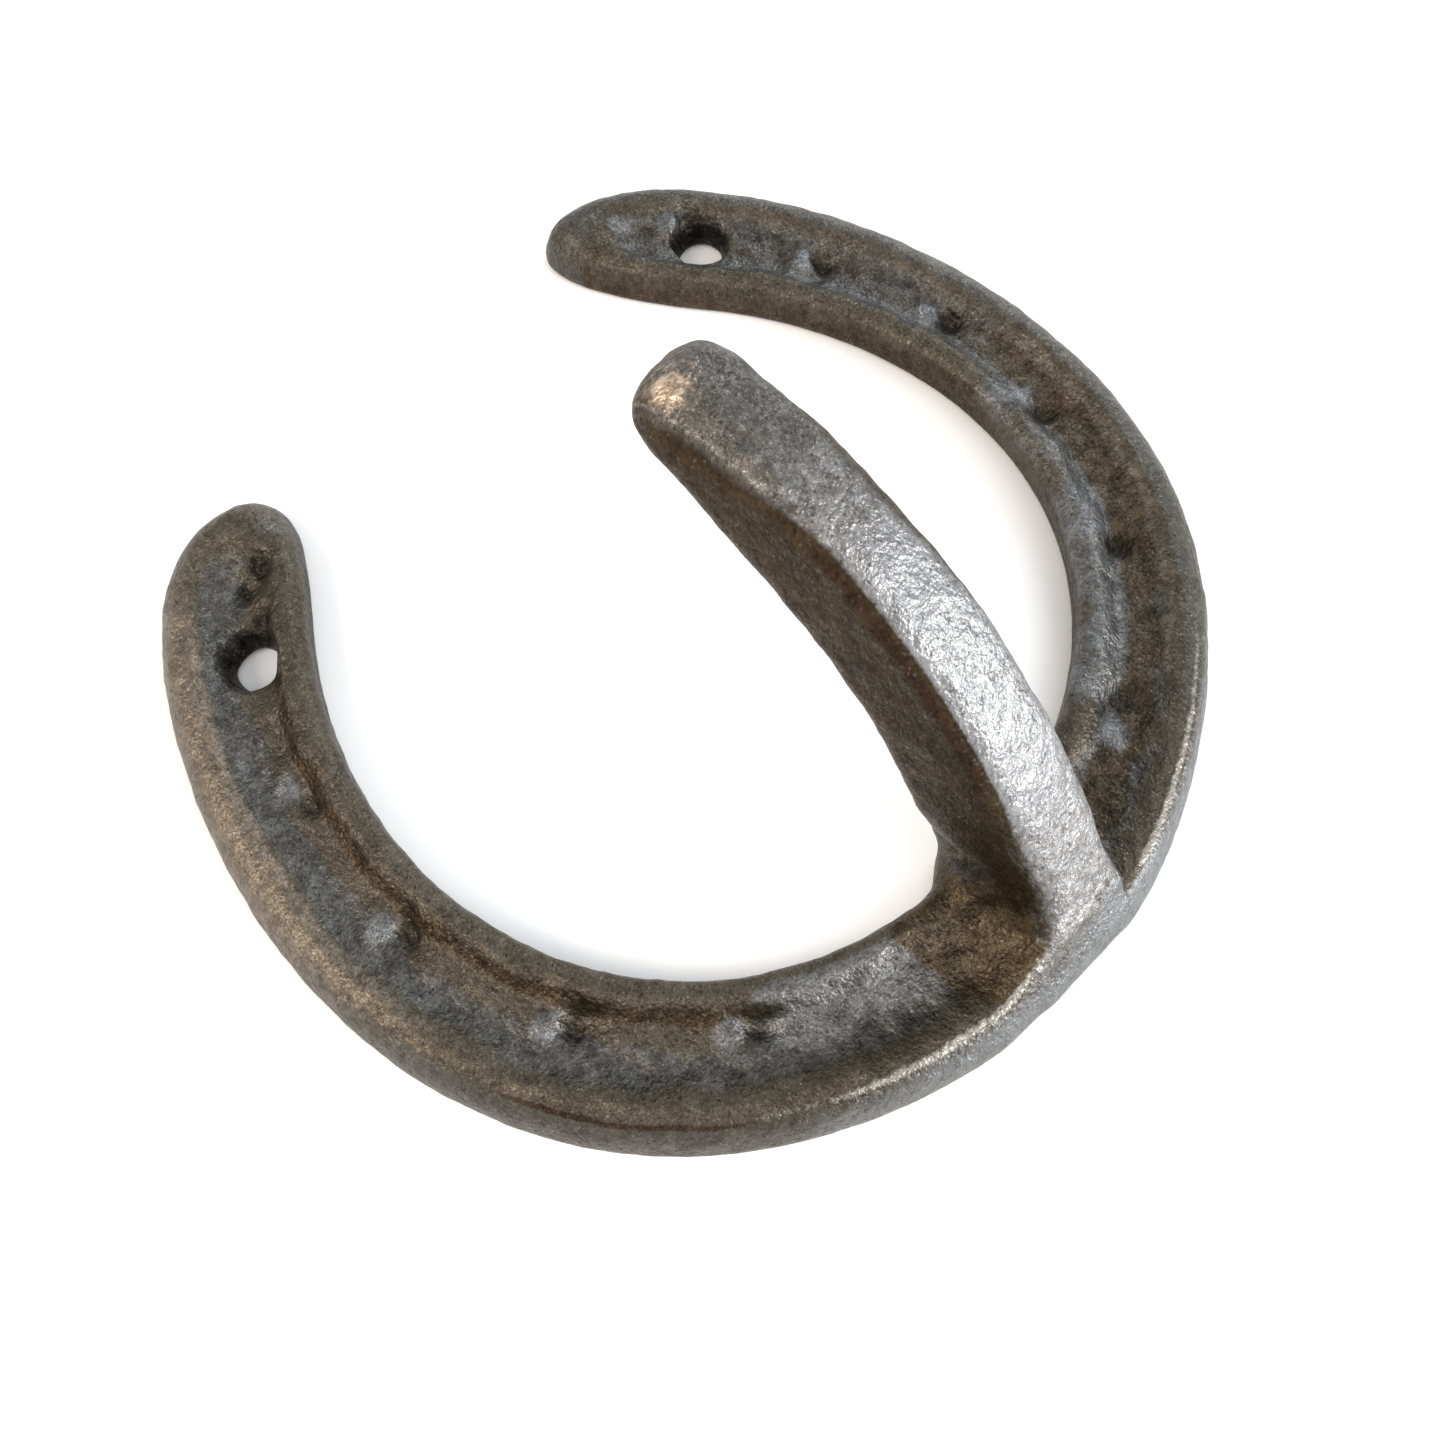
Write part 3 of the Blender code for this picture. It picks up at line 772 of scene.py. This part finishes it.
# Looks laid over the tan iron one after the other: mask, darker and lighter tone, share
LAYERS = (
    ("outer_face", (0.055, 0.051, 0.043, 1), (0.100, 0.094, 0.082, 1), 0.8),
    ("toe_wall", (0.108, 0.111, 0.114, 1), (0.160, 0.164, 0.166, 1), 1.0),
    # Rubbed tan rims, partly painted light on the left branch
    ("rubbed_and_lit_rim", (0.100, 0.082, 0.061, 1), (0.22, 0.178, 0.135, 1), 0.9),
    ("channel", (0.036, 0.035, 0.033, 1), (0.116, 0.113, 0.108, 1), 0.9),
    # Painted cool light on the channel
    ("painted_cool_light", (0.075, 0.074, 0.073, 1), (0.20, 0.20, 0.20, 1), 0.85),
    # Partly stain, partly painted shade and painted warm light
    ("stain_and_shade", (0.018, 0.011, 0.005, 1), (0.082, 0.056, 0.031, 1), 0.8),
    # Painted highlight on the nail marks' lumps
    ("nail_lit", (0.090, 0.092, 0.095, 1), (0.22, 0.224, 0.23, 1), 0.7),
    # Painted shade in the nail marks' pits
    ("nail_pit_shade", (0.010, 0.008, 0.006, 1), (0.035, 0.029, 0.021, 1), 0.75),
    # Brown of the hook's flanks, and painted shade on the right branch's inner wall
    ("flank", (0.022, 0.014, 0.006, 1), (0.062, 0.041, 0.020, 1), 1.0),
    ("flare", (0.030, 0.021, 0.011, 1), (0.092, 0.065, 0.036, 1), 0.9),
    ("greying", (0.065, 0.063, 0.060, 1), (0.11, 0.108, 0.105, 1), 0.8),
    ("hook_front", (0.060, 0.055, 0.049, 1), (0.13, 0.12, 0.108, 1), 1.0),
    # Rubbed iron of the hook's front, with a painted highlight
    ("silver_and_highlight", (0.18, 0.18, 0.183, 1), (0.29, 0.29, 0.296, 1), 1.0),
    # Painted shadow under the hook's left edge, and a dark line along the left rim's shoulder
    ("ridge_shadow_and_crease", (0.016, 0.007, 0.003, 1), (0.050, 0.025, 0.013, 1), 0.85),
    # Painted highlight lines along the toe's shoulder and the hook's left edge
    ("ridge_highlight", (0.25, 0.23, 0.21, 1), (0.48, 0.46, 0.43, 1), 0.75),
    # Painted warm highlight on the rubbed tip
    ("nose", (0.25, 0.187, 0.136, 1), (0.82, 0.63, 0.48, 1), 0.95),
    # Painted shade in the holes' pockets and the heels' pits
    ("pocket_shade", (0.006, 0.005, 0.004, 1), (0.025, 0.021, 0.018, 1), 0.95),
)
PORE_TINT = (0.35, 0.32, 0.28, 1)               # multiplies the colour in the darkest grains
PAINTED_GLINT_TINT = (0.75, 0.73, 0.70, 1)            # painted glints, screened over the brightest grains
METALLIC = 0.88
GRAIN_HEIGHT = 0.26                             # of the bump, in millimetres


def make_iron():
    """Raw sand-cast iron, tumbled: bright where it was rubbed, brown and dark where it wasn't; some
    layers are painted highlights, painted shade and painted glints.
    """
    material = bpy.data.materials.new("cast_iron")
    material.use_nodes = True
    shader = material.node_tree.nodes["Principled BSDF"]
    nodes = Nodes(material)
    fine, coarse = nodes.noise(0.35, 3.0, 0.6), nodes.noise(1.5, 3.0, 0.65, 4.0)
    grain = nodes.grains(0.22)
    tone = nodes.math("ADD", nodes.math("MULTIPLY", fine, 0.45), nodes.math("MULTIPLY", coarse, 0.55))
    tone = nodes.step(0.36, 0.64, tone)
    ragged = nodes.math("MULTIPLY", nodes.math("SUBTRACT", nodes.noise(0.8, 3.0, 0.7, 9.0), 0.5), 0.9)
    colour = nodes.mix(tone, *RIM_TAN)
    for name, dark, light, share in LAYERS:
        edge = nodes.math("ADD", nodes.mask(name), ragged)
        shown = nodes.step(0.25, 0.75, edge, 0.0, share)
        colour = nodes.mix(shown, colour, nodes.mix(tone, dark, light))
    pores = nodes.step(0.10, 0.04, grain, 0.0, 0.65)
    # Painted glints on the brightest grains
    painted_glint = nodes.step(0.93, 0.99, grain, 0.0, 0.05)
    colour = nodes.mix(pores, colour, PORE_TINT, "MULTIPLY")
    colour = nodes.mix(painted_glint, colour, PAINTED_GLINT_TINT, "SCREEN")
    nodes.feed(shader.inputs["Base Color"], colour)
    shader.inputs["Metallic"].default_value = METALLIC
    roughness = nodes.step(0.0, 1.0, nodes.math("MULTIPLY", grain, fine), 0.50, 0.30)
    nodes.feed(shader.inputs["Roughness"], roughness)

    # Grain finer than the mesh, half as high on the brown flanks
    height = nodes.math("ADD", nodes.noise(0.55, 2.5, 0.6, 2.0), nodes.math("MULTIPLY", coarse, 1.2))
    height = nodes.math("MULTIPLY", height, nodes.step(0.0, 1.0, nodes.mask("flank"), 1.0, 0.5))
    bump = nodes.make("ShaderNodeBump")
    bump.inputs["Strength"].default_value = 1.0
    bump.inputs["Distance"].default_value = GRAIN_HEIGHT * MM
    nodes.feed(bump.inputs["Height"], height)
    nodes.feed(shader.inputs["Normal"], bump.outputs["Normal"])
    return material


def make_floor_material():
    material = bpy.data.materials.new("pale_floor")
    material.use_nodes = True
    shader = material.node_tree.nodes["Principled BSDF"]
    shader.inputs["Base Color"].default_value = (0.9, 0.9, 0.9, 1)
    shader.inputs["Roughness"].default_value = 0.9
    return material


# ---------------------------------------------------------------- studio

# Camera: azimuth 0 looks from the toe's side; distance and target in millimetres
CAMERA_AZIMUTH, CAMERA_ELEVATION, CAMERA_ROLL = (math.radians(a) for a in (-46.316, 68.581, -4.011))
CAMERA_DISTANCE = 108.506
CAMERA_TARGET = Vector((-7.026, -2.173 + POLE_Y, 0.0))
CAMERA_LENS, SENSOR_WIDTH = 28.65, 36.0
CLIP_START = 0.001                              # metres

# Soft boxes: name, azimuth and elevation in degrees, width in metres, watts, colour
LIGHTS = (
    ("key", 15, 12, 0.32, 6.5, (0.98, 0.99, 1.0)),
    ("front_fill", 10, 45, 0.5, 2, (1.0, 1.0, 1.0)),
    ("cool_side", 105, 28, 0.4, 3.2, (0.80, 0.90, 1.0)),
    ("warm_side", -115, 44, 0.4, 4.5, (1.0, 0.88, 0.76)),
)
LIGHT_DISTANCE = 0.8
WORLD_STRENGTH = 0.80
FLOOR_HALF, FLOOR_Z_M = 3.0, -0.00005           # metres; just under the back of the shoe


def direction(azimuth, elevation):
    """Unit vector from the middle of the shoe towards a place; azimuth 0 is on the toe's side."""
    flat = math.cos(elevation)
    return Vector((math.sin(azimuth) * flat, -math.cos(azimuth) * flat, math.sin(elevation)))


def make_camera():
    back = direction(CAMERA_AZIMUTH, CAMERA_ELEVATION)
    right = Vector((math.cos(CAMERA_AZIMUTH), math.sin(CAMERA_AZIMUTH), 0))
    up = back.cross(right)
    cos_roll, sin_roll = math.cos(CAMERA_ROLL), math.sin(CAMERA_ROLL)
    turned_right = right * cos_roll + up * sin_roll
    turned_up = up * cos_roll - right * sin_roll
    data = bpy.data.cameras.new("camera")
    data.lens, data.sensor_width = CAMERA_LENS, SENSOR_WIDTH
    data.clip_start = CLIP_START
    camera = bpy.data.objects.new("camera", data)
    axes = Matrix((turned_right, turned_up, back)).transposed().to_4x4()
    camera.matrix_world = Matrix.Translation((CAMERA_TARGET + back * CAMERA_DISTANCE) * MM) @ axes
    bpy.context.scene.collection.objects.link(camera)
    bpy.context.scene.camera = camera


def area_light(name, azimuth, elevation, size, power, colour):
    """A square soft box aimed at the middle of the shoe."""
    away = direction(math.radians(azimuth), math.radians(elevation))
    data = bpy.data.lights.new(name, "AREA")
    data.shape, data.size, data.energy, data.color = "SQUARE", size, power, colour
    light = bpy.data.objects.new(name, data)
    light.location = away * LIGHT_DISTANCE
    light.rotation_mode = "QUATERNION"
    light.rotation_quaternion = away.to_track_quat("Z", "Y")
    bpy.context.scene.collection.objects.link(light)


def make_studio():
    mesh = bpy.data.meshes.new("floor")
    corners = [(x * FLOOR_HALF, y * FLOOR_HALF, 0) for x, y in ((-1, -1), (1, -1), (1, 1), (-1, 1))]
    mesh.from_pydata(corners, [], [(0, 1, 2, 3)])
    mesh.materials.append(make_floor_material())
    floor = bpy.data.objects.new("floor", mesh)
    floor.location.z = FLOOR_Z_M
    bpy.context.scene.collection.objects.link(floor)
    world = bpy.data.worlds.new("studio")
    bpy.context.scene.world = world
    world.use_nodes = True
    background = world.node_tree.nodes["Background"]
    background.inputs["Color"].default_value = (1.0, 1.0, 1.0, 1)
    background.inputs["Strength"].default_value = WORLD_STRENGTH
    for settings in LIGHTS:
        area_light(*settings)
    bpy.context.scene.view_settings.view_transform = "Standard"


skin = make_skin(make_iron())
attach(skin, "root")
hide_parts("horseshoe", "hook")
make_studio()
make_camera()
